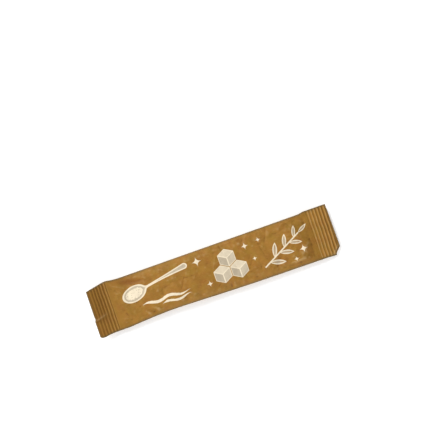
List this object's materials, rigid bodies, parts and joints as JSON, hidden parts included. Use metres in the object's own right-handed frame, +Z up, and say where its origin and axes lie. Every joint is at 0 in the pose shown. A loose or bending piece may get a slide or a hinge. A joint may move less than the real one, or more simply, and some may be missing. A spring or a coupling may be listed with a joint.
{
  "type": "stick sachet of sugar",
  "caption": "Slim sealed brown paper stick sachet of sugar: a soft, flat pillow with a ribbed crimp seal across each end, lying printed side up.",
  "frame": {"origin": "on the table under the middle of the sachet's outline", "axes": "+X along the sachet towards the dog-eared end, +Y across it, +Z up out of the printed face"},
  "size_m": [0.108, 0.0224, 0.0053],
  "materials": {
    "paper": "brown printed paper with a faint sheen, pale line print on the upper face"
  },
  "bodies": {
    "root": {"pouch": "paper"}
  },
  "joints": []
}
